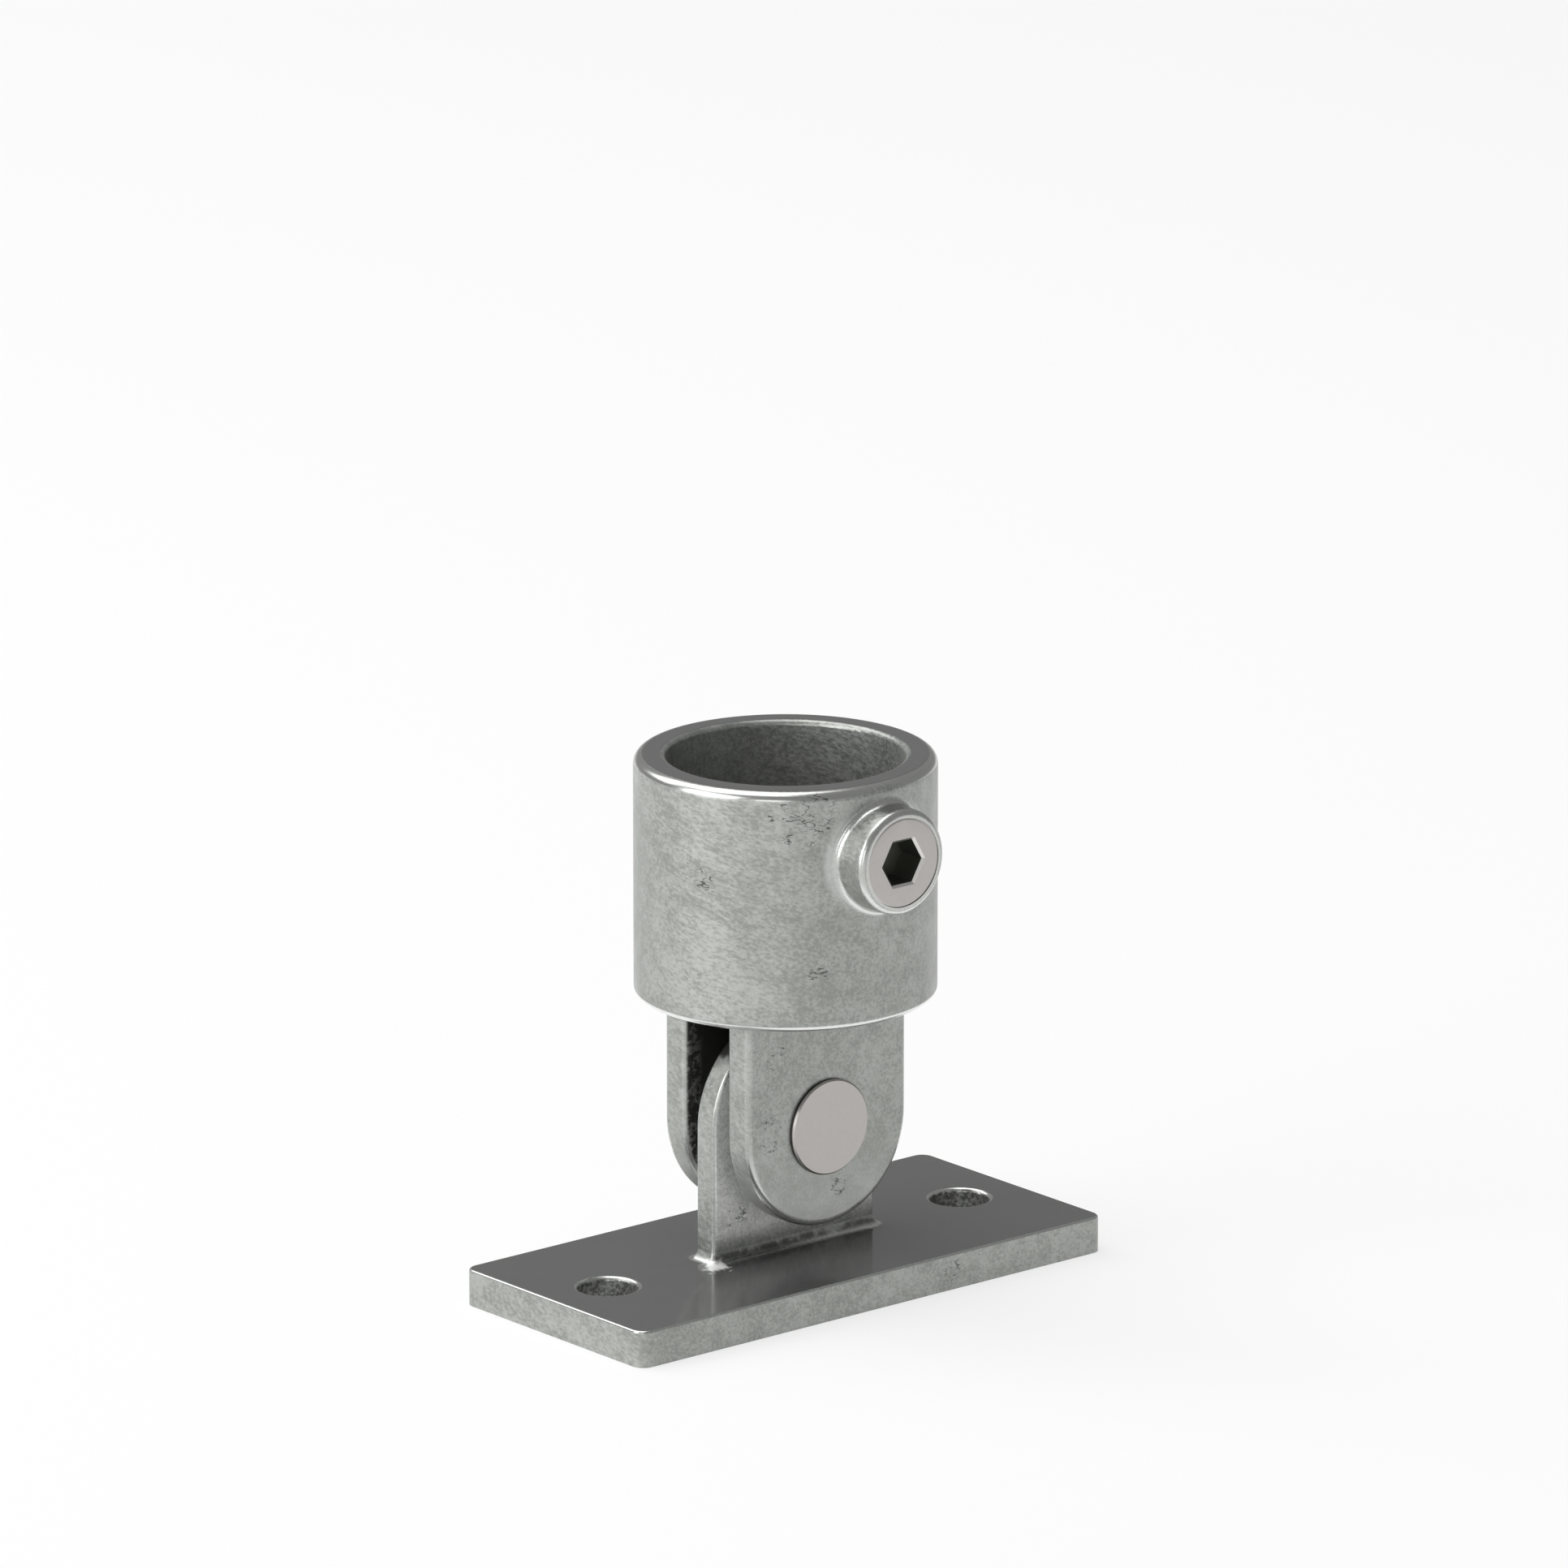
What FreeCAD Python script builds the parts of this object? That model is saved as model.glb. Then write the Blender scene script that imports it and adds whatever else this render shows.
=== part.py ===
import FreeCAD, Part

import math
import os
import Sketcher

# A swivelling base flange: a plate with two bolt holes carries an upright tongue,
# and a socket casting hangs on that tongue by two ears and a pin.
# A set screw runs through the socket's boss into its bore.
# Frame: the origin is the middle of the plate's underside, Z is up along the upright socket,
# and X runs along the plate through both bolt holes. The pin lies along Y.

# Driving sizes in millimetres
SIZES = [
    ("plate_length", 110.7, "plate along X"),
    ("plate_width", 51.2, "plate along Y"),
    ("plate_thickness", 6.9, "plate along Z"),
    ("plate_corner_radius", 2.5, "upright corners of the plate"),
    ("plate_edge_radius", 0.5, "rim of the plate's top"),
    ("hole_spacing", 84.4, "between the centres of the two bolt holes"),
    ("hole_diameter", 11.0, "bolt hole"),
    ("hole_edge_radius", 0.9, "upper rim of a bolt hole"),
    ("tongue_width", 38.4, "tongue along X, and the diameter of its round top"),
    ("tongue_thickness", 5.2, "tongue along Y"),
    ("tongue_edge_radius", 0.8, "outline of the tongue"),
    ("tongue_foot_radius", 4.5, "sweep from the tongue into the plate"),
    ("pin_height", 31.85, "pin axis above the plate's underside"),
    ("hub_diameter", 26.0, "round hubs on the tongue that fill the slot"),
    ("hub_root_chamfer", 0.8, "slope from a hub into the tongue"),
    ("hub_side_clearance", 0.3, "between a hub's face and the ear beside it"),
    ("slot_width", 11.6, "between the two ears"),
    ("ear_thickness", 6.3, "one ear along Y"),
    ("ear_width", 37.9, "ear along X, and the diameter of its round end"),
    ("ear_edge_radius", 1.4, "outline of each ear, inside and outside"),
    ("ear_root_radius", 1.5, "sweep from an ear into the socket's underside"),
    ("pin_diameter", 18.0, "hinge pin"),
    ("pin_standout", 0.9, "pin end beyond the ear's outer face"),
    ("pin_edge_chamfer", 0.3, "rim of a pin end"),
    ("pin_running_clearance", 0.08, "pin to tongue, on the radius"),
    ("pin_seat_clearance", 0.02, "pin to ear, on the radius"),
    ("socket_rise", 23.15, "pin axis to the socket's underside"),
    ("socket_diameter", 55.6, "outside of the socket"),
    ("socket_length", 45.25, "socket along Z"),
    ("socket_top_radius", 2.0, "outer rim at the mouth"),
    ("socket_bottom_radius", 1.5, "outer rim at the underside"),
    ("bore_diameter", 43.8, "bore of the socket"),
    ("bore_edge_radius", 1.0, "inner rim at the mouth"),
    ("floor_thickness", 8.0, "floor of the bore"),
    ("boss_diameter", 19.7, "round boss for the set screw"),
    ("boss_reach", 33.2, "socket axis to the boss's face"),
    ("boss_drop", 3.85, "boss's upper side below the mouth"),
    ("boss_rim_radius", 1.2, "rim of the boss's face"),
    ("boss_root_radius", 1.35, "sweep from the boss into the socket"),
    ("screw_diameter", 16.6, "set screw"),
    ("screw_clearance", 0.05, "set screw to its hole, on the radius"),
    ("screw_edge_chamfer", 0.45, "outer rim of the set screw, on the radius"),
    ("screw_edge_depth", 0.2, "that rim along the screw"),
    ("screw_tip_chamfer", 1.2, "inner rim of the set screw"),
    ("screw_tip_setback", 0.3, "screw's tip outside the bore's wall"),
    ("cup_diameter", 10.0, "hollow in the screw's tip"),
    ("cup_depth", 2.0, "depth of that hollow"),
    ("key_flats", 8.0, "hexagon socket across its flats"),
    ("key_depth", 6.0, "depth of the hexagon socket"),
    ("key_mouth_chamfer", 0.45, "rim of the hexagon socket"),
]

# Places worked out from the driving sizes, as expressions for the sheet
PLATE_TOP = "Sizes.plate_thickness"
INSIDE_PLATE = "Sizes.plate_thickness / 2"
PIN_AXIS = "Sizes.pin_height"
SOCKET_BOTTOM = "(Sizes.pin_height + Sizes.socket_rise)"
INSIDE_FLOOR = SOCKET_BOTTOM + " + Sizes.floor_thickness / 2"
MOUTH = "(Sizes.pin_height + Sizes.socket_rise + Sizes.socket_length)"
BORE_DEPTH = "Sizes.socket_length - Sizes.floor_thickness"
BOSS_AXIS = MOUTH + " - Sizes.boss_drop - Sizes.boss_diameter / 2"
EAR_OUTSIDE = "(Sizes.slot_width / 2 + Sizes.ear_thickness)"
BELOW_EARS = "Sizes.pin_height - Sizes.ear_width"
SCREW_TIP = "(Sizes.bore_diameter / 2 + Sizes.screw_tip_setback)"

NEAR = 0.001


def make_sheet(doc):
    """Writes the driving sizes into a spreadsheet, one row each, with an alias."""
    sheet = doc.addObject("Spreadsheet::Sheet", "Sizes")
    for row, (alias, number, note) in enumerate(SIZES, start=1):
        sheet.set("A%d" % row, alias)
        sheet.set("B%d" % row, str(number))
        sheet.set("C%d" % row, note)
        sheet.setAlias("B%d" % row, alias)
    doc.recompute()
    return sheet


def make_body(doc, label):
    """Starts a sub-part."""
    body = doc.addObject("PartDesign::Body", label)
    body.Label = label
    return body


def worth(body, expression):
    """The present value of an expression on the sheet."""
    found = body.evalExpression(expression)
    return float(getattr(found, "Value", found))


def add_sketch(body, role, name, lift=None, shift=None):
    """Starts a sketch on one of the body's own origin planes, lifted along its normal."""
    sketch = body.newObject("Sketcher::SketchObject", name)
    plane = [item for item in body.Origin.OriginFeatures if item.Role == role][0]
    sketch.AttachmentSupport = [(plane, "")]
    sketch.MapMode = "FlatFace"
    if lift:
        sketch.setExpression("AttachmentOffset.Base.z", lift)
    if shift:
        sketch.setExpression("AttachmentOffset.Base.y", shift)
    return sketch


def bind(sketch, name, constraint, expression):
    """Adds a dimension to a sketch and ties it to the sheet."""
    index = sketch.addConstraint(constraint)
    sketch.renameConstraint(index, name)
    sketch.setExpression("Constraints." + name, expression)


def axis_line(upright):
    """The sketch's own number for its upright or its level axis."""
    return -2 if upright else -1


def origin_point():
    """The sketch's own numbers for its origin: a line and the end of it."""
    return axis_line(False), 1


def place_point(body, sketch, name, point, across, up):
    """Fixes a sketch point at two expressions, where None means on that axis."""
    if across is None:
        sketch.addConstraint(Sketcher.Constraint("PointOnObject", *point, axis_line(True)))
    else:
        distance = Sketcher.Constraint("DistanceX", *origin_point(), *point, worth(body, across))
        bind(sketch, name + "_across", distance, across)
    if up is None:
        sketch.addConstraint(Sketcher.Constraint("PointOnObject", *point, axis_line(False)))
    else:
        distance = Sketcher.Constraint("DistanceY", *origin_point(), *point, worth(body, up))
        bind(sketch, name + "_up", distance, up)


def flat_point(body, across, up):
    """A sketch point as a vector, from two expressions."""
    x = worth(body, across) if across else 0
    y = worth(body, up) if up else 0
    return FreeCAD.Vector(x, y, 0)


def draw_circle(body, sketch, name, across, up, diameter):
    """Draws a circle with its centre and diameter tied to the sheet."""
    centre = flat_point(body, across, up)
    radius = worth(body, diameter) / 2
    circle = sketch.addGeometry(Part.Circle(centre, FreeCAD.Vector(0, 0, 1), radius), False)
    place_point(body, sketch, name, (circle, 3), across, up)
    bind(sketch, name + "_size", Sketcher.Constraint("Diameter", circle, 2 * radius), diameter)
    return circle


def draw_outline(body, sketch, corners):
    """Draws a closed outline of straight lines through corners given as expressions."""
    points = [flat_point(body, across, up) for across, up in corners]
    lines = []
    for index, start in enumerate(points):
        end = points[(index + 1) % len(points)]
        lines.append(sketch.addGeometry(Part.LineSegment(start, end), False))
    for index, line in enumerate(lines):
        following = lines[(index + 1) % len(lines)]
        sketch.addConstraint(Sketcher.Constraint("Coincident", line, 2, following, 1))
    for index, (across, up) in enumerate(corners):
        place_point(body, sketch, "corner%d" % index, (lines[index], 1), across, up)


def draw_rounded_strap(body, sketch, width, centre_up, end_up):
    """Draws a strap with one round end about a centre and one straight end."""
    radius = worth(body, width) / 2
    centre = flat_point(body, None, centre_up)
    end = worth(body, end_up)
    left, right = FreeCAD.Vector(-radius, centre.y, 0), FreeCAD.Vector(radius, centre.y, 0)
    left_end, right_end = FreeCAD.Vector(-radius, end, 0), FreeCAD.Vector(radius, end, 0)
    circle = Part.Circle(centre, FreeCAD.Vector(0, 0, 1), radius)
    opens_down = end < centre.y
    start_angle = 0 if opens_down else math.pi
    first, last = (right, left) if opens_down else (left, right)
    first_end, last_end = (right_end, left_end) if opens_down else (left_end, right_end)
    arc = sketch.addGeometry(Part.ArcOfCircle(circle, start_angle, start_angle + math.pi), False)
    first_side = sketch.addGeometry(Part.LineSegment(first_end, first), False)
    last_side = sketch.addGeometry(Part.LineSegment(last, last_end), False)
    base = sketch.addGeometry(Part.LineSegment(last_end, first_end), False)
    sketch.addConstraint(Sketcher.Constraint("Tangent", first_side, 2, arc, 1))
    sketch.addConstraint(Sketcher.Constraint("Tangent", arc, 2, last_side, 1))
    sketch.addConstraint(Sketcher.Constraint("Coincident", last_side, 2, base, 1))
    sketch.addConstraint(Sketcher.Constraint("Coincident", base, 2, first_side, 1))
    sketch.addConstraint(Sketcher.Constraint("Vertical", first_side))
    sketch.addConstraint(Sketcher.Constraint("Vertical", last_side))
    sketch.addConstraint(Sketcher.Constraint("Horizontal", base))
    place_point(body, sketch, "centre", (arc, 3), None, centre_up)
    bind(sketch, "round_end", Sketcher.Constraint("Radius", arc, radius), width + " / 2")
    straight_end = Sketcher.Constraint("DistanceY", *origin_point(), base, 1, end)
    bind(sketch, "straight_end", straight_end, end_up)


def draw_hexagon(body, sketch, flats, centre_up):
    """Draws a hexagon with two corners level with its centre."""
    corner_radius = worth(body, flats) / 2 / math.cos(math.pi / 6)
    centre = flat_point(body, None, centre_up)
    points = []
    for step in range(6):
        angle = step * math.pi / 3
        points.append(centre + FreeCAD.Vector(math.cos(angle), math.sin(angle), 0) * corner_radius)
    rim = Part.Circle(centre, FreeCAD.Vector(0, 0, 1), corner_radius)
    circle = sketch.addGeometry(rim, True)
    sides = []
    for step in range(6):
        side = Part.LineSegment(points[step], points[(step + 1) % 6])
        sides.append(sketch.addGeometry(side, False))
    for step in range(6):
        following = sides[(step + 1) % 6]
        sketch.addConstraint(Sketcher.Constraint("Coincident", sides[step], 2, following, 1))
        sketch.addConstraint(Sketcher.Constraint("PointOnObject", sides[step], 1, circle))
    for step in range(1, 6):
        sketch.addConstraint(Sketcher.Constraint("Equal", sides[0], sides[step]))
    place_point(body, sketch, "centre", (circle, 3), None, centre_up)
    sketch.addConstraint(Sketcher.Constraint("Horizontal", circle, 3, sides[0], 1))
    across_corners = Sketcher.Constraint("Diameter", circle, 2 * corner_radius)
    bind(sketch, "across_corners", across_corners, flats + " / cos(30 deg)")


def pad(body, sketch, name, length, both_ways=False, backwards=False):
    """Adds material on a sketch."""
    feature = body.newObject("PartDesign::Pad", name)
    feature.Profile = sketch
    feature.SideType = "Symmetric" if both_ways else "One side"
    feature.Reversed = backwards
    feature.setExpression("Length", length)
    body.Document.recompute()
    return feature


def cut(body, sketch, name, length=None, both_ways=False, backwards=False):
    """Takes material away on a sketch, through everything where no length is given."""
    before = body.Shape.Volume
    feature = body.newObject("PartDesign::Pocket", name)
    feature.Profile = sketch
    feature.SideType = "Symmetric" if both_ways else "One side"
    feature.Reversed = backwards
    if length:
        feature.setExpression("Length", length)
    else:
        feature.Type = "ThroughAll"
    body.Document.recompute()
    if feature.Shape.Volume > before - NEAR:
        raise RuntimeError(name + " takes nothing away")
    return feature


def span(edge, axis):
    """The lowest and highest place of an edge along X, Y or Z."""
    box = edge.BoundBox
    return getattr(box, axis + "Min"), getattr(box, axis + "Max")


def lies_at(edge, axis, place):
    """True for an edge in the plane at that place along an axis."""
    low, high = span(edge, axis)
    return abs(low - place) < NEAR and abs(high - place) < NEAR


def reaches(edge, axis):
    """How far an edge gets from the origin along an axis, either way."""
    low, high = span(edge, axis)
    return max(abs(low), abs(high))


def is_round(edge, radius):
    """True for a circle or an arc of that radius."""
    return edge.Curve.TypeId == "Part::GeomCircle" and abs(edge.Curve.Radius - radius) < NEAR


def soften(body, name, kind, radius, wanted):
    """Fillets or chamfers the edges of the body that a test picks."""
    base = body.Tip
    names = ["Edge%d" % (i + 1) for i, edge in enumerate(base.Shape.Edges) if wanted(edge)]
    if not names:
        raise RuntimeError(name + " finds no edge")
    feature = body.newObject("PartDesign::" + kind, name)
    feature.Base = (base, names)
    feature.setExpression("Size" if kind == "Chamfer" else "Radius", radius)
    body.Document.recompute()
    return feature


# Base flange: plate, tongue, hubs and bolt holes in one casting
def make_base_flange(doc):
    body = make_body(doc, "base_flange")
    half_length = worth(body, "Sizes.plate_length / 2")
    half_width = worth(body, "Sizes.plate_width / 2")
    top = worth(body, PLATE_TOP)
    half_tongue = worth(body, "Sizes.tongue_thickness / 2")

    plan = add_sketch(body, "XY_Plane", "plate_plan")
    corners = []
    for across, up in ((-1, -1), (1, -1), (1, 1), (-1, 1)):
        corners.append(("%d * Sizes.plate_length / 2" % across, "%d * Sizes.plate_width / 2" % up))
    draw_outline(body, plan, corners)
    pad(body, plan, "plate", "Sizes.plate_thickness")

    def is_plate_corner(edge):
        on_end = lies_at(edge, "X", half_length) or lies_at(edge, "X", -half_length)
        on_side = lies_at(edge, "Y", half_width) or lies_at(edge, "Y", -half_width)
        return on_end and on_side

    soften(body, "plate_corners", "Fillet", "Sizes.plate_corner_radius", is_plate_corner)
    soften(body, "plate_rim", "Fillet", "Sizes.plate_edge_radius", lambda edge: lies_at(edge, "Z", top))

    profile = add_sketch(body, "XZ_Plane", "tongue_profile")
    draw_rounded_strap(body, profile, "Sizes.tongue_width", PIN_AXIS, INSIDE_PLATE)
    pad(body, profile, "tongue", "Sizes.tongue_thickness", both_ways=True)

    def is_tongue_outline(edge):
        on_face = lies_at(edge, "Y", half_tongue) or lies_at(edge, "Y", -half_tongue)
        return on_face and not lies_at(edge, "Z", top)

    def is_tongue_foot(edge):
        return lies_at(edge, "Z", top) and reaches(edge, "Y") < half_tongue + NEAR

    soften(body, "tongue_outline", "Fillet", "Sizes.tongue_edge_radius", is_tongue_outline)
    soften(body, "tongue_foot", "Fillet", "Sizes.tongue_foot_radius", is_tongue_foot)

    hub_circle = add_sketch(body, "XZ_Plane", "hub_circle")
    draw_circle(body, hub_circle, "hub", None, PIN_AXIS, "Sizes.hub_diameter")
    hub_length = "Sizes.slot_width - 2 * Sizes.hub_side_clearance"
    pad(body, hub_circle, "hubs", hub_length, both_ways=True)
    hub_radius = worth(body, "Sizes.hub_diameter / 2")

    def is_hub_root(edge):
        on_face = lies_at(edge, "Y", half_tongue) or lies_at(edge, "Y", -half_tongue)
        return on_face and is_round(edge, hub_radius)

    soften(body, "hub_roots", "Chamfer", "Sizes.hub_root_chamfer", is_hub_root)

    bore_circle = add_sketch(body, "XZ_Plane", "pin_bore_circle")
    bore_size = "Sizes.pin_diameter + 2 * Sizes.pin_running_clearance"
    draw_circle(body, bore_circle, "bore", None, PIN_AXIS, bore_size)
    cut(body, bore_circle, "pin_bore", both_ways=True)

    hole_circles = add_sketch(body, "XY_Plane", "bolt_circles", lift=PLATE_TOP)
    for name, side in (("left", -1), ("right", 1)):
        across = "%d * Sizes.hole_spacing / 2" % side
        draw_circle(body, hole_circles, name, across, None, "Sizes.hole_diameter")
    cut(body, hole_circles, "bolt_holes", length="Sizes.plate_thickness")
    hole_radius = worth(body, "Sizes.hole_diameter / 2")

    def is_hole_rim(edge):
        return lies_at(edge, "Z", top) and is_round(edge, hole_radius)

    soften(body, "hole_rims", "Fillet", "Sizes.hole_edge_radius", is_hole_rim)
    return body


# Swivel socket: round socket, screw boss and the two ears in one casting
def make_swivel_socket(doc):
    body = make_body(doc, "swivel_socket")
    bottom = worth(body, SOCKET_BOTTOM)
    mouth = worth(body, MOUTH)
    socket_radius = worth(body, "Sizes.socket_diameter / 2")

    circle = add_sketch(body, "XY_Plane", "socket_circle", lift=SOCKET_BOTTOM)
    draw_circle(body, circle, "socket", None, None, "Sizes.socket_diameter")
    pad(body, circle, "socket_block", "Sizes.socket_length")
    soften(body, "mouth_rim", "Fillet", "Sizes.socket_top_radius", lambda edge: lies_at(edge, "Z", mouth))
    add_boss(body)

    def is_underside_rim(edge):
        return lies_at(edge, "Z", bottom) and is_round(edge, socket_radius)

    soften(body, "underside_rim", "Fillet", "Sizes.socket_bottom_radius", is_underside_rim)
    add_ears(body)

    bore_circle = add_sketch(body, "XY_Plane", "socket_bore_circle", lift=MOUTH)
    draw_circle(body, bore_circle, "bore", None, None, "Sizes.bore_diameter")
    cut(body, bore_circle, "socket_bore", length=BORE_DEPTH)
    bore_radius = worth(body, "Sizes.bore_diameter / 2")

    def is_bore_rim(edge):
        return lies_at(edge, "Z", mouth) and is_round(edge, bore_radius)

    soften(body, "bore_rim", "Fillet", "Sizes.bore_edge_radius", is_bore_rim)

    screw_circle = add_sketch(body, "XZ_Plane", "screw_hole_circle", lift="Sizes.boss_reach")
    hole_size = "Sizes.screw_diameter + 2 * Sizes.screw_clearance"
    draw_circle(body, screw_circle, "hole", None, BOSS_AXIS, hole_size)
    cut(body, screw_circle, "screw_hole", length="Sizes.boss_reach")

    pin_circle = add_sketch(body, "XZ_Plane", "pin_hole_circle")
    seat_size = "Sizes.pin_diameter + 2 * Sizes.pin_seat_clearance"
    draw_circle(body, pin_circle, "hole", None, PIN_AXIS, seat_size)
    cut(body, pin_circle, "pin_holes", both_ways=True)
    return body


def add_boss(body):
    """The round boss that the set screw runs through, blended into the socket's wall."""
    circle = add_sketch(body, "XZ_Plane", "boss_circle", lift="Sizes.boss_reach")
    draw_circle(body, circle, "boss", None, BOSS_AXIS, "Sizes.boss_diameter")
    pad(body, circle, "boss", "Sizes.boss_reach", backwards=True)
    face = -worth(body, "Sizes.boss_reach")

    def is_boss_root(edge):
        return edge.Curve.TypeId not in ("Part::GeomLine", "Part::GeomCircle")

    soften(body, "boss_root", "Fillet", "Sizes.boss_root_radius", is_boss_root)
    soften(body, "boss_rim", "Fillet", "Sizes.boss_rim_radius", lambda edge: lies_at(edge, "Y", face))


def add_ears(body):
    """Two ears under the socket: one thick strap, slotted, with every outline rounded."""
    bottom = worth(body, SOCKET_BOTTOM)
    half_slot = worth(body, "Sizes.slot_width / 2")
    outside = worth(body, EAR_OUTSIDE)
    half_ear = worth(body, "Sizes.ear_width / 2")

    profile = add_sketch(body, "XZ_Plane", "ear_profile")
    draw_rounded_strap(body, profile, "Sizes.ear_width", PIN_AXIS, INSIDE_FLOOR)
    pad(body, profile, "strap", "2 * " + EAR_OUTSIDE, both_ways=True)

    slot = add_sketch(body, "YZ_Plane", "slot_section")
    corners = []
    for across, up in ((-1, BELOW_EARS), (1, BELOW_EARS), (1, SOCKET_BOTTOM), (-1, SOCKET_BOTTOM)):
        corners.append(("%d * Sizes.slot_width / 2" % across, up))
    draw_outline(body, slot, corners)
    cut(body, slot, "slot", both_ways=True)

    def is_ear_outline(edge):
        below = span(edge, "Z")[1] < bottom + NEAR and not lies_at(edge, "Z", bottom)
        on_face = any(lies_at(edge, "Y", place) for place in (-outside, -half_slot, half_slot, outside))
        return below and on_face

    def is_ear_root(edge):
        in_reach = reaches(edge, "X") < half_ear + NEAR and reaches(edge, "Y") < outside + NEAR
        return lies_at(edge, "Z", bottom) and in_reach

    soften(body, "ear_outlines", "Fillet", "Sizes.ear_edge_radius", is_ear_outline)
    soften(body, "ear_roots", "Fillet", "Sizes.ear_root_radius", is_ear_root)


# Hinge pin: a plain round pin, held in the ears, that the tongue turns on
def make_hinge_pin(doc):
    body = make_body(doc, "hinge_pin")
    circle = add_sketch(body, "XZ_Plane", "pin_circle")
    draw_circle(body, circle, "pin", None, PIN_AXIS, "Sizes.pin_diameter")
    length = "2 * (%s + Sizes.pin_standout)" % EAR_OUTSIDE
    pad(body, circle, "pin", length, both_ways=True)
    end = worth(body, length) / 2

    def is_end_rim(edge):
        return lies_at(edge, "Y", end) or lies_at(edge, "Y", -end)

    soften(body, "pin_ends", "Chamfer", "Sizes.pin_edge_chamfer", is_end_rim)
    return body


# Clamp screw: a set screw flush with the boss, with a hexagon socket and a cup point
def make_clamp_screw(doc):
    body = make_body(doc, "clamp_screw")
    radius = "Sizes.screw_diameter / 2"
    head = "-1 * Sizes.boss_reach"
    tip = "-1 * " + SCREW_TIP
    section = add_sketch(body, "YZ_Plane", "screw_section", shift=BOSS_AXIS)
    draw_outline(
        body,
        section,
        [
            (head, None),
            (head, radius + " - Sizes.screw_edge_chamfer"),
            (head + " + Sizes.screw_edge_depth", radius),
            (tip + " - Sizes.screw_tip_chamfer", radius),
            (tip, radius + " - Sizes.screw_tip_chamfer"),
            (tip, "Sizes.cup_diameter / 2"),
            (tip + " - Sizes.cup_depth", None),
        ],
    )
    turned = body.newObject("PartDesign::Revolution", "screw_blank")
    turned.Profile = section
    turned.ReferenceAxis = (section, ["H_Axis"])
    turned.Angle = 360
    doc.recompute()

    key = add_sketch(body, "XZ_Plane", "key_hexagon", lift="Sizes.boss_reach")
    draw_hexagon(body, key, "Sizes.key_flats", BOSS_AXIS)
    cut(body, key, "key_socket", length="Sizes.key_depth")
    face = worth(body, head)

    def is_key_mouth(edge):
        return lies_at(edge, "Y", face) and edge.Curve.TypeId == "Part::GeomLine"

    soften(body, "key_mouth", "Chamfer", "Sizes.key_mouth_chamfer", is_key_mouth)
    return body


def check_document(doc, bodies):
    """Stops the run where an object has failed or a sub-part isn't one sound solid."""
    for item in doc.Objects:
        if "Invalid" in item.State or "Error" in item.State:
            raise RuntimeError("%s failed to build" % item.Name)
    for body in bodies:
        if body.Shape.isNull() or not body.Shape.isValid() or len(body.Shape.Solids) != 1:
            raise RuntimeError("%s isn't one sound solid" % body.Label)


def main():
    doc = FreeCAD.newDocument("swivel_base_flange")
    make_sheet(doc)
    makers = [make_base_flange, make_swivel_socket, make_hinge_pin, make_clamp_screw]
    bodies = [maker(doc) for maker in makers]
    for body in bodies:
        body.Placement = FreeCAD.Placement()
    doc.recompute()
    check_document(doc, bodies)
    os.makedirs("parts", exist_ok=True)
    for body in bodies:
        body.Shape.exportStep("parts/%s.step" % body.Label)
        box = body.Shape.optimalBoundingBox(False, False)
        size = (box.XLength, box.YLength, box.ZLength)
        print(body.Label, "size %.2f %.2f %.2f" % size, "volume %.1f" % body.Shape.Volume)


main()
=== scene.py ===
# %% [markdown]
# # A galvanised swivel base flange
#
# This lesson dresses a finished solid model of a clamp flange for framing work.
# The model has four pieces: a plate with an upright tongue, a round socket with two ears,
# a hinge pin, and a set screw in the socket's boss.
# Nearly every shape is exact already, so most of the work here is finish and light.
# Lengths are in metres. The plate lies on the floor, X runs through its two holes, and the pin
# and the set screw lie along Y.
# We start by loading the model, with a helper that reads the box round one of its pieces.

import math

import bmesh
import bpy
from mathutils import Matrix, Vector


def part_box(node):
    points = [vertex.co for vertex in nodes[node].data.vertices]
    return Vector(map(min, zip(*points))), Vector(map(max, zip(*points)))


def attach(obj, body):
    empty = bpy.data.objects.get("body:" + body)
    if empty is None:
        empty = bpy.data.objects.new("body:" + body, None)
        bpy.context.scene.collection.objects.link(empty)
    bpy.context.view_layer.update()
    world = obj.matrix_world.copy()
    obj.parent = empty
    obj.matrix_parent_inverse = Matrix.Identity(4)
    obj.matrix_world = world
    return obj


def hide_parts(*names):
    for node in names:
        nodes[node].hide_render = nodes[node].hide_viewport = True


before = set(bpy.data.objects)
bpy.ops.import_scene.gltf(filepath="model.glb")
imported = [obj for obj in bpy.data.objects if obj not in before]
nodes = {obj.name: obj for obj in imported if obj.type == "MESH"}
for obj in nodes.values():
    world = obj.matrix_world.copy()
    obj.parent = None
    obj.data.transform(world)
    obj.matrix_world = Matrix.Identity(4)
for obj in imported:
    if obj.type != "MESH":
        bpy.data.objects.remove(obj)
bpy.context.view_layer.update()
print("pieces:", sorted(nodes))


# %% [markdown]
# ## The camera
#
# A long lens far away keeps the plate's long edges almost parallel, as in a catalogue picture.
# The camera stands to the front left and looks down a little, so it sees the boss, the pin,
# one end of the plate and its top.
# Its place, its two angles in degrees and its lens are plain numbers, because they were measured once.

# %% Set up the camera
CAMERA_PLACE = (-1.59256, -1.89879, 0.79086)
CAMERA_DOWN = 15.701
CAMERA_SIDEWAYS = 39.981
CAMERA_LENS = 324.3
SENSOR_WIDTH = 36.0

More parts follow.
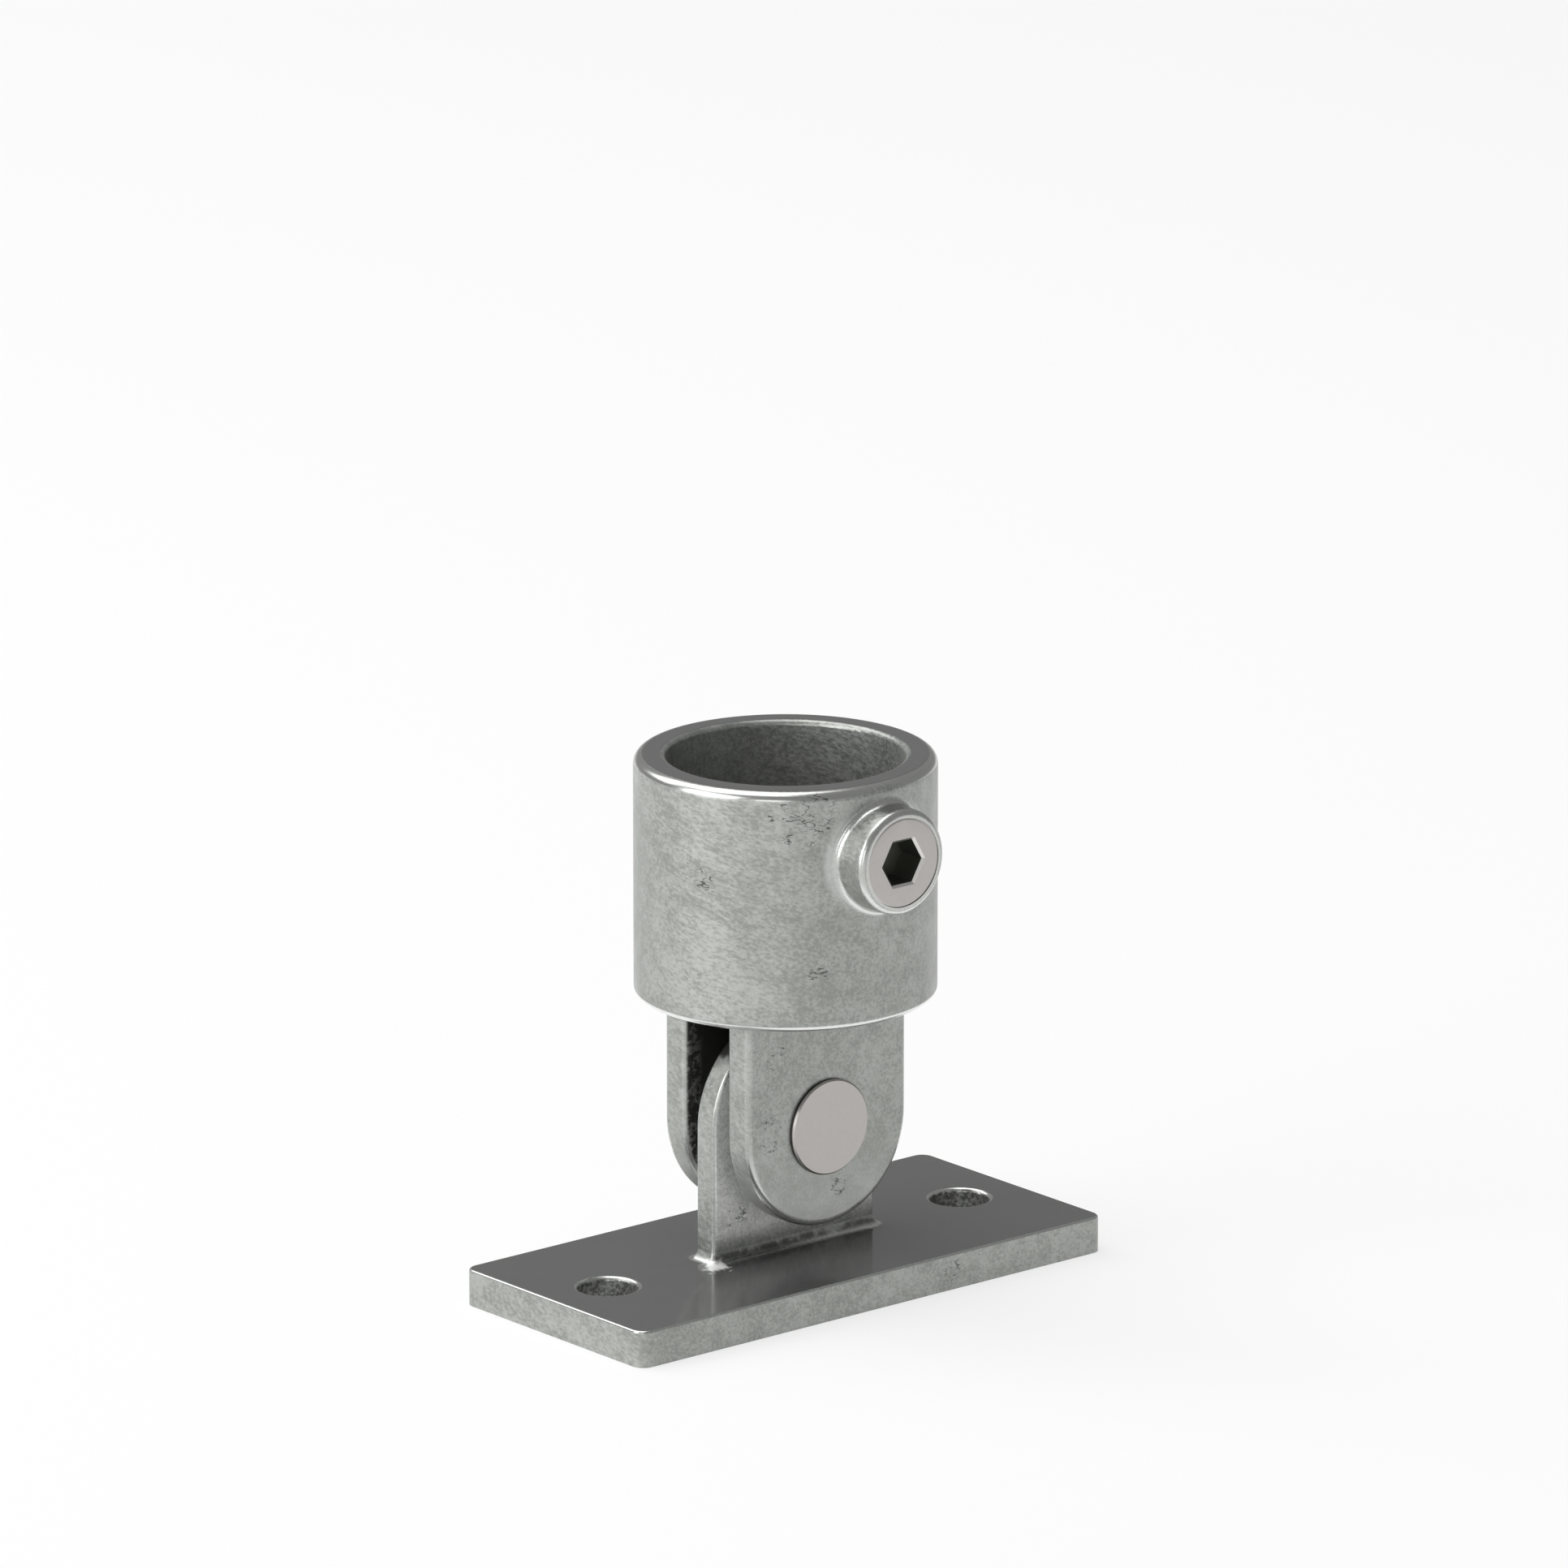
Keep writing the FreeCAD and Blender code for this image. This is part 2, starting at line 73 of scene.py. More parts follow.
camera_data = bpy.data.cameras.new("camera")
camera_data.lens = CAMERA_LENS
camera_data.sensor_width = SENSOR_WIDTH
camera = bpy.data.objects.new("camera", camera_data)
camera.location = CAMERA_PLACE
camera.rotation_euler = (math.radians(90 - CAMERA_DOWN), 0, math.radians(-CAMERA_SIDEWAYS))
bpy.context.scene.collection.objects.link(camera)
bpy.context.scene.camera = camera
print("camera lens", camera_data.lens, "mm")


# %% [markdown]
# ## Small helpers for materials
#
# Every finish here is a graph of nodes. Three helpers keep the recipes short: one adds a node,
# one fills in an input, and one starts a new material.
# A value given as a socket is linked, and a plain value is typed in. Inputs that share a name are
# called by their number instead, as n0 or n1.

# %% Node helpers
def add_node(tree, kind, settings=(), **sockets):
    """Adds a shader node, sets its options, and fills or links its named inputs."""
    node = tree.nodes.new(kind)
    for option, choice in dict(settings).items():
        setattr(node, option, choice)
    for name, given in sockets.items():
        fill_socket(tree, node, name.replace("_", " "), given)
    return node


def fill_socket(tree, node, name, given):
    """Types a value into an input, or links a socket to it."""
    numbered = name[0] == "n" and name[1:].isdigit()
    socket = node.inputs[int(name[1:])] if numbered else node.inputs[name]
    if isinstance(given, bpy.types.NodeSocket):
        tree.links.new(given, socket)
    else:
        socket.default_value = given


def new_material(name):
    """A material with an empty graph, its surface shader and its output."""
    material = bpy.data.materials.new(name)
    material.use_nodes = True
    tree = material.node_tree
    tree.nodes.clear()
    shader = tree.nodes.new("ShaderNodeBsdfPrincipled")
    output = tree.nodes.new("ShaderNodeOutputMaterial")
    tree.links.new(shader.outputs["BSDF"], output.inputs["Surface"])
    return material, tree, shader


print("node helpers ready")


# %% [markdown]
# Most of what follows is sums on single numbers: where a point lies, which way its face looks,
# how strong a noise is there. These helpers name the sums.

# %% Sums on numbers
def math_node(tree, operation, first, second=0.0):
    """A sum of two numbers, each a socket or a plain value."""
    return add_node(tree, "ShaderNodeMath", {"operation": operation}, n0=first, n1=second).outputs[0]


def plus(tree, first, second):
    """Two numbers added."""
    return math_node(tree, "ADD", first, second)


def times(tree, *numbers):
    """All the numbers multiplied together."""
    result = numbers[0]
    for number in numbers[1:]:
        result = math_node(tree, "MULTIPLY", result, number)
    return result


def highest(tree, *numbers):
    """The largest of the numbers."""
    result = numbers[0]
    for number in numbers[1:]:
        result = math_node(tree, "MAXIMUM", result, number)
    return result


def unsigned(tree, number):
    """A number without its minus sign."""
    return math_node(tree, "ABSOLUTE", number)


def opposite(tree, share):
    """What a share leaves: 1 becomes 0, and 0 becomes 1."""
    return math_node(tree, "SUBTRACT", 1.0, share)


print("sums ready")


# %% [markdown]
# A ramp goes smoothly from 0 to 1 between two values, and a band is 1 only between two values.
# A ramp's numbers are kept together under one name below: where it starts and where it ends, and
# then the results at both, where they aren't 0 and 1. The end may lie below the start.
# The two blends mix numbers or colours by a share.

# %% Ramps and blends
def ramp(tree, number, low, high, to_low=0.0, to_high=1.0):
    """A smooth step from one value to another as the number goes from low to high."""
    settings = {"interpolation_type": "SMOOTHSTEP"}
    sockets = {"Value": number, "From_Min": low, "From_Max": high, "To_Min": to_low, "To_Max": to_high}
    return add_node(tree, "ShaderNodeMapRange", settings, **sockets).outputs[0]


def band(tree, number, low, high, soft):
    """1 where the number is between low and high, with soft sides."""
    rise = ramp(tree, number, low - soft, low + soft)
    fall = ramp(tree, number, high + soft, high - soft)
    return times(tree, rise, fall)


def blend_number(tree, share, start, end):
    """Goes from one number to another as the share goes from 0 to 1."""
    return add_node(tree, "ShaderNodeMix", {"data_type": "FLOAT"}, n0=share, n2=start, n3=end).outputs[0]


def blend_colour(tree, share, start, end):
    """Goes from one colour to another as the share goes from 0 to 1."""
    return add_node(tree, "ShaderNodeMix", {"data_type": "RGBA"}, n0=share, n6=start, n7=end).outputs[2]


print("ramps and blends ready")


# %% [markdown]
# ## Floor and surroundings
#
# Bare metal has almost no colour of its own: it shows what stands around it.
# The floor is white and reads as white in the metal too, so that upright faces turn out a light grey.
# The surroundings above the floor are a mid grey, which is what the level faces mirror.
# The floor mixes a plain white with ordinary shading, so that the object keeps its soft shadow.

# %% Floor and world
FLOOR_SIZE = 40.0
FLOOR_SHADED_SHARE = 0.3
FLOOR_COLOUR = (0.93, 0.93, 0.93, 1.0)
PLAIN_WHITE = (1.0, 1.0, 1.0, 1.0)
WORLD_GREY = (0.31, 0.31, 0.31, 1.0)


def floor_material():
    """White where it is looked at or mirrored, with part of it still shaded."""
    material = bpy.data.materials.new("studio_floor")
    material.use_nodes = True
    tree = material.node_tree
    tree.nodes.clear()
    shaded = add_node(tree, "ShaderNodeBsdfDiffuse", Color=FLOOR_COLOUR)
    white = add_node(tree, "ShaderNodeEmission", Color=PLAIN_WHITE, Strength=1.0)
    rays = tree.nodes.new("ShaderNodeLightPath").outputs
    seen = highest(tree, rays["Is Camera Ray"], rays["Is Glossy Ray"], rays["Is Transmission Ray"])
    share = times(tree, seen, 1 - FLOOR_SHADED_SHARE)
    both = add_node(tree, "ShaderNodeMixShader", n0=share, n1=shaded.outputs[0], n2=white.outputs[0])
    output = tree.nodes.new("ShaderNodeOutputMaterial")
    tree.links.new(both.outputs[0], output.inputs["Surface"])
    return material


def make_floor():
    """A wide level floor under the plate."""
    shape = bmesh.new()
    bmesh.ops.create_grid(shape, x_segments=1, y_segments=1, size=FLOOR_SIZE / 2)
    mesh = bpy.data.meshes.new("floor")
    shape.to_mesh(mesh)
    shape.free()
    mesh.materials.append(floor_material())
    floor = bpy.data.objects.new("floor", mesh)
    bpy.context.scene.collection.objects.link(floor)
    return floor


floor = make_floor()

world = bpy.data.worlds.new("studio")
world.use_nodes = True
world.node_tree.nodes["Background"].inputs["Color"].default_value = WORLD_GREY
world.node_tree.nodes["Background"].inputs["Strength"].default_value = 1.0
bpy.context.scene.world = world
bpy.context.scene.view_settings.view_transform = "Standard"
print("floor", FLOOR_SIZE, "m wide")


# %% [markdown]
# ## Lamps
#
# Rounded edges on metal catch whatever lamp lies in their mirror direction.
# A wide soft lamp overhead draws the bright line along the socket's mouth, and one high at the
# back left draws the line along the plate's near end.
# A large one at the left makes the left side of the round socket lighter than its right side,
# and a small low one at the front reaches into the gap between the ears.
# Each lamp has a name, a place, a width and a brightness, where white paper has a brightness of 1.

# %% Lamps
LAMPS = [
    ("overhead_lamp", (-0.3, 0.5, 2.0), 1.9, 2.1),
    ("back_left_lamp", (-0.85, 2.2, 1.85), 1.5, 2.4),
    ("left_lamp", (-2.5, 0.5, 0.9), 2.0, 3.3),
    ("low_front_lamp", (-2.2, -1.75, 0.55), 1.2, 2.0),
]
LAMP_AIM = Vector((0.0, 0.0, 0.05))


def make_lamp(name, place, width, brightness):
    """A square soft lamp that faces the object."""
    data = bpy.data.lights.new(name, "AREA")
    data.shape = "SQUARE"
    data.size = width
    data.energy = brightness * math.pi * width ** 2
    lamp = bpy.data.objects.new(name, data)
    lamp.location = place
    lamp.rotation_euler = (LAMP_AIM - Vector(place)).to_track_quat("-Z", "Y").to_euler()
    bpy.context.scene.collection.objects.link(lamp)
    return lamp


for lamp_name, lamp_place, lamp_width, lamp_brightness in LAMPS:
    lamp = make_lamp(lamp_name, lamp_place, lamp_width, lamp_brightness)
    print(lamp.name, "gives", round(lamp.data.energy, 1), "W")


# %% [markdown]
# ## Twins of two pieces
#
# The flange and the set screw each get a twin for the eye. A twin starts from the solid's own
# mesh, so it keeps the exact shape wherever nothing is changed. That mesh arrives as loose
# triangles, which are joined first.
# A finished twin is smooth on its roundings and sharp at its corners, and a Weighted Normal
# modifier keeps its flat faces looking flat.

# %% Joined copies and finished pieces
TINY = 1e-6
SHARP_ANGLE = math.radians(40)
STORED_NORMALS = "custom_normal"
LARGE_FACES_FIRST = 100


def merged_copy(node_name):
    """A node's mesh with its loose triangles joined."""
    shape = bmesh.new()
    shape.from_mesh(nodes[node_name].data)
    bmesh.ops.remove_doubles(shape, verts=shape.verts, dist=TINY)
    return shape


def add_object(name, shape):
    """An object at the origin that holds the given shape."""
    mesh = bpy.data.meshes.new(name)
    shape.to_mesh(mesh)
    shape.free()
    piece = bpy.data.objects.new(name, mesh)
    bpy.context.scene.collection.objects.link(piece)
    return piece


def smooth_piece(piece):
    """Smooth on its roundings and sharp at its corners, with flat faces left flat."""
    stored = piece.data.attributes.get(STORED_NORMALS)
    if stored:
        piece.data.attributes.remove(stored)
    piece.data.shade_smooth()
    piece.data.set_sharp_from_angle(angle=SHARP_ANGLE)
    weighted = piece.modifiers.new("even_faces", "WEIGHTED_NORMAL")
    weighted.keep_sharp = True
    weighted.weight = LARGE_FACES_FIRST


print("corners over", round(math.degrees(SHARP_ANGLE)), "degrees stay sharp")


# %% [markdown]
# ## A tighter sweep at the foot
#
# On the casting the tongue meets the plate in a sweep of about 2 mm. The solid's sweep is twice
# that, so it is deleted from the flange's twin. The open ring that this leaves under the tongue
# can be drawn down and outwards, ring by ring. The helpers here find the open ring at a height,
# tell which way is outwards, and draw one new ring.

# %% Rings round the tongue
PLATE_TOP = 0.0069
TONGUE_HALF = (0.0192, 0.0026)
TONGUE_EDGE = 0.0008
SAME_HEIGHT = 10 * TINY


def outward(point):
    """The level direction that leads away from the tongue at a point of its wall."""
    core = Vector(point)
    for axis, half in enumerate(TONGUE_HALF):
        reach = half - TONGUE_EDGE
        core[axis] = max(-reach, min(reach, point[axis]))
    return (point - core).normalized()


def open_ring(shape, height):
    """The edges at one height that have a face on one side only."""
    found = []
    for edge in shape.edges:
        if edge.is_boundary and all(abs(vert.co.z - height) < SAME_HEIGHT for vert in edge.verts):
            found.append(edge)
    return found


def draw_down(shape, ring, height, step_out):
    """Extrudes a ring to a lower height and outwards, and returns the new ring."""
    made = bmesh.ops.extrude_edge_only(shape, edges=ring)["geom"]
    for vert in [part for part in made if isinstance(part, bmesh.types.BMVert)]:
        vert.co += outward(vert.co) * step_out
        vert.co.z = height
    return open_ring(shape, height)


print("tongue", TONGUE_HALF[0] * 2000, "mm wide and", TONGUE_HALF[1] * 2000, "mm thick")


# %% [markdown]
# The first new ring goes straight down to where the small sweep starts. The next ones follow a
# quarter circle, and a bridge joins the last one to the plate. The printed count of open edges
# has to be 0, because the piece is a closed skin.

# %% Draw the foot again
OLD_SWEEP = 0.0045
FOOT_SWEEP = 0.0022
SWEEP_STEPS = 6


def tighter_foot():
    """The flange with a smaller sweep between its tongue and its plate."""
    shape = merged_copy("base_flange")
    sweep_top = PLATE_TOP + OLD_SWEEP
    old = [f for f in shape.faces if PLATE_TOP + TINY < f.calc_center_median().z < sweep_top - TINY]
    bmesh.ops.delete(shape, geom=old, context="FACES")
    plate_ring = open_ring(shape, PLATE_TOP)
    ring = draw_down(shape, open_ring(shape, sweep_top), PLATE_TOP + FOOT_SWEEP, 0.0)
    gone = 0.0
    for step in range(1, SWEEP_STEPS + 1):
        turn = math.radians(90) * step / SWEEP_STEPS
        reach = FOOT_SWEEP * (1 - math.cos(turn))
        height = PLATE_TOP + FOOT_SWEEP * (1 - math.sin(turn))
        ring = draw_down(shape, ring, height, reach - gone)
        gone = reach
    ring = [edge for edge in open_ring(shape, PLATE_TOP) if edge not in plate_ring]
    bmesh.ops.bridge_loops(shape, edges=ring + plate_ring)
    bmesh.ops.recalc_face_normals(shape, faces=shape.faces)
    still_open = sum(1 for edge in shape.edges if not edge.is_manifold)
    print("foot sweep", FOOT_SWEEP * 1000, "mm, open edges left:", still_open)
    return add_object("cast_flange", shape)


flange = tighter_foot()
smooth_piece(flange)
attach(flange, "base")
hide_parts("base_flange")


# %% [markdown]
# ## A real thread on the set screw
#
# The solid screw is a plain cylinder. The real one has a pipe thread, which shows as soon as the
# screw is turned out of its boss. A thread is one tooth's outline, spun round the axis while it
# moves along by one pitch a turn. Each point of the outline has a share of the pitch and a share
# of the depth. The long ridge that the spin gives is cut off square at both ends.

# %% Spin a threaded rod
SCREW_LOW, SCREW_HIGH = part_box("clamp_screw")
SCREW_FACE = SCREW_LOW[1]
SCREW_TIP = SCREW_HIGH[1]
BOSS_HEIGHT = (SCREW_LOW[2] + SCREW_HIGH[2]) / 2
THREAD_CREST = (SCREW_HIGH[2] - SCREW_LOW[2]) / 2
THREAD_DEPTH = 0.00086
THREAD_PITCH = 0.001337
TOOTH = [(0.0, 0.0), (0.09, 0.0), (0.44, 1.0), (0.56, 1.0), (0.91, 0.0), (1.0, 0.0)]
TURN_STEPS = 48
COLLAR = 0.0009
SPARE = 0.001


def cut_square(shape, place, way):
    """Cuts off what lies past a place on the axis, and closes the end."""
    everything = shape.verts[:] + shape.edges[:] + shape.faces[:]
    plane = {"plane_co": (0, place, 0), "plane_no": (0, way, 0)}
    cut = bmesh.ops.bisect_plane(shape, geom=everything, clear_outer=True, **plane)["geom_cut"]
    rim = [part for part in cut if isinstance(part, bmesh.types.BMEdge)]
    bmesh.ops.contextual_create(shape, geom=rim)


def thread_rod():
    """A threaded rod, longer than the screw at its tip."""
    shape = bmesh.new()
    start = SCREW_FACE + COLLAR - SPARE
    turns = math.ceil((SCREW_TIP - start) / THREAD_PITCH) + 2
    points = []
    for along, out in TOOTH:
        radius = THREAD_CREST - THREAD_DEPTH * (1 - out)
        points.append(shape.verts.new((radius, start + (along - 1) * THREAD_PITCH, BOSS_HEIGHT)))
    edges = [shape.edges.new(pair) for pair in zip(points, points[1:])]
    bmesh.ops.spin(
        shape,
        geom=points + edges,
        cent=(0, 0, BOSS_HEIGHT),
        axis=(0, 1, 0),
        dvec=(0, THREAD_PITCH / TURN_STEPS, 0),
        angle=2 * math.pi * turns,
        steps=TURN_STEPS * turns,
        use_duplicate=False,
    )
    bmesh.ops.remove_doubles(shape, verts=shape.verts, dist=TINY)
    cut_square(shape, start + SPARE / 2, -1)
    cut_square(shape, SCREW_TIP + SPARE, 1)
    bmesh.ops.recalc_face_normals(shape, faces=shape.faces)
    return add_object("thread_rod", shape)


rod = thread_rod()
print("rod has", len(rod.data.polygons), "faces and", round(THREAD_PITCH * 1000, 3), "mm pitch")


# %% [markdown]
# The screw's face has no thread, so a short plain collar is joined to the rod there. A Boolean
# then keeps what the rod and the solid screw share. In this way the hexagon socket, the rims and
# the cup in the tip come from the solid, and only the cylinder's outside is new.

# %% Fit the thread to the screw
COLLAR_RADIUS = THREAD_CREST + 50 * TINY


def plain_collar():
    """A short cylinder round the screw's face, a little wider than the screw."""
    shape = bmesh.new()
    turn = Matrix.Rotation(math.radians(90), 4, "X")
    middle = Matrix.Translation((0, SCREW_FACE + (COLLAR - SPARE) / 2, BOSS_HEIGHT))
    bmesh.ops.create_cone(
        shape,
        cap_ends=True,
        segments=2 * TURN_STEPS,
        radius1=COLLAR_RADIUS,
        radius2=COLLAR_RADIUS,
        depth=COLLAR + SPARE,
        matrix=middle @ turn,
    )
    return add_object("plain_collar", shape)


def combine(piece, other, operation):
    """Joins or cuts a piece with another one, which is then removed."""
    cut = piece.modifiers.new("cut", "BOOLEAN")
    cut.object = other
    cut.operation = operation
    cut.solver = "EXACT"
    graph = bpy.context.evaluated_depsgraph_get()
    piece.data = bpy.data.meshes.new_from_object(piece.evaluated_get(graph))
    piece.modifiers.clear()
    bpy.data.objects.remove(other)


combine(rod, plain_collar(), "UNION")
screw = add_object("threaded_screw", merged_copy("clamp_screw"))
combine(screw, rod, "INTERSECT")
smooth_piece(screw)
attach(screw, "screw")
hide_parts("clamp_screw")
print("screw has", len(screw.data.polygons), "faces")


# %% [markdown]
# ## The zinc skin
#
# Both castings were dipped in molten zinc. The zinc freezes into a thin skin with cloudy patches
# and a fine grain that runs aslant, as if brushed by the draining metal.
# Both come from noise on the object's own coordinates, so the pattern stays put when the socket
# swings. A Mapping node of the Texture kind turns the grain and draws it out along one direction.
# A noise has three numbers: its scale, its detail and its roughness.

# %% Patches and grain
GRAIN_NOISE = (1700.0, 2.0, 0.75)
PATCH_NOISE = (330.0, 3.0, 0.7)
CLOUD_NOISE = (60.0, 2.0, 0.6)
GRAIN_SHARE = 0.50
PATCH_SHARE = 0.29
CLOUD_SHARE = 0.21
GRAIN_TURN = (0.0, math.radians(13.9), math.radians(-65.9))
GRAIN_STRETCH = (2.3, 1.0, 1.0)


def surface(tree):
    """The point being shaded and the way its face looks, both on the object's own axes."""
    coordinates = tree.nodes.new("ShaderNodeTexCoord").outputs
    return coordinates["Object"], coordinates["Normal"]


def parts_of(tree, vector):
    """A vector's three numbers."""
    return add_node(tree, "ShaderNodeSeparateXYZ", Vector=vector).outputs


def noise(tree, place, scale, detail, roughness):
    """A cloud of the given scale, from 0 to 1 with most of it near one half."""
    sockets = {"Vector": place, "Scale": scale, "Detail": detail, "Roughness": roughness}
    return add_node(tree, "ShaderNodeTexNoise", **sockets).outputs[0]


def zinc_skin(tree, place):
    """Patches and grain as one number about a half, and the grain by itself."""
    settings = {"vector_type": "TEXTURE"}
    sockets = {"Vector": place, "Rotation": GRAIN_TURN, "Scale": GRAIN_STRETCH}
    leaning = add_node(tree, "ShaderNodeMapping", settings, **sockets).outputs[0]
    grain = noise(tree, leaning, *GRAIN_NOISE)
    patches = noise(tree, leaning, *PATCH_NOISE)
    clouds = noise(tree, place, *CLOUD_NOISE)
    total = plus(tree, times(tree, grain, GRAIN_SHARE), times(tree, patches, PATCH_SHARE))
    return plus(tree, total, times(tree, clouds, CLOUD_SHARE)), grain


print("zinc skin ready")


# %% [markdown]
# Where flux or ash stuck to the casting, the skin has small dark dashes and squiggles.
# They are the contour line of a noise, where it crosses its middle value. A second noise breaks
# the lines up. Each mark has a place, a reach outside of which nothing shows, and a weight that
# makes its lines broader.

# %% Flux marks
MARK_NOISE = (460.0, 1.5, 0.5)
MARK_FLATTEN = (1.0, 1.0, 2.4)
NOISE_MIDDLE = 0.5
MARK_LINE = (0.036, 0.0072)
MARK_CORE = 0.6
MARK_FADE = (0.1, 0.6)
BREAK_NOISE = (430.0, 1.0, 0.5)
BREAK_RANGE = (0.46, 0.53)
MARKS = {
    "swivel_socket": [
        ((-0.0265, -0.0084, 0.0830), 0.0024, 2.2),
        ((-0.0132, -0.0245, 0.0961), 0.0046, 1.1),
        ((-0.0185, -0.0208, 0.0955), 0.0036, 0.9),
        ((-0.0160, -0.0227, 0.0934), 0.0046, 1.0),
        ((-0.0127, -0.0247, 0.0657), 0.0024, 1.6),
        ((-0.0140, -0.0121, 0.0327), 0.0042, 0.9),
        ((-0.0126, -0.0121, 0.0474), 0.0034, 0.7),
        ((0.0025, -0.0121, 0.0199), 0.0022, 2.0),
    ],
    "base_flange": [
        ((-0.0140, -0.0026, 0.0150), 0.0034, 1.2),
        ((0.0180, -0.0256, 0.0040), 0.0030, 0.8),
    ],
}


def distance_from(tree, place, centre):
    """How far the point being shaded is from a fixed one."""
    settings = {"operation": "DISTANCE"}
    return add_node(tree, "ShaderNodeVectorMath", settings, n0=place, n1=centre).outputs["Value"]


def flux_marks(tree, place, marks):
    """1 on a dark mark, 0 elsewhere."""
    level = add_node(tree, "ShaderNodeMapping", Vector=place, Scale=MARK_FLATTEN).outputs[0]
    wobble = noise(tree, level, *MARK_NOISE)
    off_middle = unsigned(tree, math_node(tree, "SUBTRACT", wobble, NOISE_MIDDLE))
    broken = ramp(tree, noise(tree, place, *BREAK_NOISE), *BREAK_RANGE)
    near = 0.0
    for centre, reach, weight in marks:
        gap = distance_from(tree, place, centre)
        near = highest(tree, near, ramp(tree, gap, reach, reach * MARK_CORE, 0.0, weight))
    line = ramp(tree, math_node(tree, "DIVIDE", off_middle, near), *MARK_LINE)
    return times(tree, line, broken, ramp(tree, near, *MARK_FADE))


print("marks:", {name: len(marks) for name, marks in MARKS.items()})


# %% [markdown]
# ## Bright edges, a painted highlight
#
# Edges are where a casting is rubbed in use and where molten zinc runs thick and smooth, so the
# rounded edges are brighter and glossier than the faces.
# An edge is found by the way it looks: on a rim between an upright and a level face, the upward
# part of the normal is neither 0 nor 1. On a rim between two upright faces, the part along Y is
# tested instead. The point's place says which rim it is.

# %% Edges of the flange
EDGE_LOW = 0.22
EDGE_HIGH = 0.95
EDGE_SOFT = 0.05
PLATE_RIM = (PLATE_TOP + FOOT_SWEEP * 0.4, PLATE_TOP + FOOT_SWEEP * 0.1)
TONGUE_RIM = (PLATE_TOP + FOOT_SWEEP * 0.6, PLATE_TOP + FOOT_SWEEP)
TONGUE_RIM_HIGHLIGHT_RISE = (0.036, 0.042, 0.2, 0.8)


def turning(tree, part):
    """1 where one part of the normal is neither near 0 nor near 1."""
    return band(tree, unsigned(tree, part), EDGE_LOW, EDGE_HIGH, EDGE_SOFT)


def flange_edges(tree, where, looks):
    """The plate's rims, the rims of its holes, the sweep's end and the tongue's outline."""
    plate = times(tree, turning(tree, looks["Z"]), ramp(tree, where["Z"], *PLATE_RIM))
    tongue = times(tree, turning(tree, looks["Y"]), ramp(tree, where["Z"], *TONGUE_RIM))
    return highest(tree, plate, times(tree, tongue, ramp(tree, where["Z"], *TONGUE_RIM_HIGHLIGHT_RISE)))


print("tongue's outline is bright above", TONGUE_RIM_HIGHLIGHT_RISE[1] * 1000, "mm")


# %% [markdown]
# At the tongue's foot two more things are laid on: a painted highlight at one corner, with a ragged rim,
# and painted shade in the hollow of the sweep.

# %% Painted highlight and shade at the foot
FOOT_CORNER = (-0.0203, -0.0042, 0.0070)
CORNER_REACH = 0.0029
FOOT_HIGHLIGHT_NOISE = (650.0, 1.0, 0.6)
FOOT_HIGHLIGHT_RAGGED = 2 * CORNER_REACH
FOOT_HIGHLIGHT_RIM = (2.1 * CORNER_REACH, 1.3 * CORNER_REACH)
SHADE_NOISE = (280.0, 2.0, 0.6)
FOOT_SHADE_RANGE = (0.36, 0.55)
FOOT_SHADE_FACING = (0.3, 0.6)
FOOT_SHADE_LOW = PLATE_TOP + FOOT_SWEEP * 0.3
FOOT_SHADE_HIGH = PLATE_TOP + FOOT_SWEEP * 0.8
FOOT_SHADE_SOFT = FOOT_SWEEP * 0.2


def foot_highlight(tree, place):
    """A painted highlight, bright and ragged, at one corner of the tongue's foot."""
    ragged = times(tree, noise(tree, place, *FOOT_HIGHLIGHT_NOISE), FOOT_HIGHLIGHT_RAGGED)
    return ramp(tree, plus(tree, distance_from(tree, place, FOOT_CORNER), ragged), *FOOT_HIGHLIGHT_RIM)


def foot_shade(tree, place, where, looks):
    """Painted shade in the hollow of the sweep along the tongue's foot."""
    height = band(tree, where["Z"], FOOT_SHADE_LOW, FOOT_SHADE_HIGH, FOOT_SHADE_SOFT)
    front = ramp(tree, unsigned(tree, looks["Y"]), *FOOT_SHADE_FACING)
    patchy = ramp(tree, noise(tree, place, *SHADE_NOISE), *FOOT_SHADE_RANGE)
    return times(tree, height, front, patchy)


# The painted shade at the foot reaches up to this height.
print("ash lies up to", round(FOOT_SHADE_HIGH * 1000, 1), "mm")


# %% [markdown]
# The socket has more kinds of edges. Its two rims are found by height and by distance from the
# socket's axis, and the ears by lying below them. The boss has a rim and a root, and the mouth of
# its screw hole. All three are found by distance from the screw's axis.

# %% Edges of the socket
HALF_MM = 0.0005
SOCKET_UNDERSIDE = 0.055
SOCKET_INNER = 0.0245
PIN_HEIGHT = 0.03185
EAR_ARC = (PIN_HEIGHT, 0.026, 0.3, 1.0)
BOSS_RADIUS = 0.00985
BOSS_ROOT = 0.00135
BOSS_FRONT = (-0.018, -0.021)
BOSS_REACH = (BOSS_RADIUS + 3 * BOSS_ROOT, BOSS_RADIUS + 2 * BOSS_ROOT)
BOSS_RIM = (BOSS_RADIUS * 0.83, BOSS_RADIUS * 0.9)
BOSS_FOOT = (BOSS_RADIUS + 2 * BOSS_ROOT, BOSS_RADIUS + BOSS_ROOT)
BOSS_SHARE = 0.8
MOUTH_FRONT = (-0.0325, -0.0328)
MOUTH_REACH = (0.0091, 0.0087)


def from_axis(tree, first, second, first_middle=0.0, second_middle=0.0):
    """The distance from an axis, by the two coordinates across it."""
    one = math_node(tree, "SUBTRACT", first, first_middle)
    other = math_node(tree, "SUBTRACT", second, second_middle)
    return math_node(tree, "SQRT", plus(tree, times(tree, one, one), times(tree, other, other)))


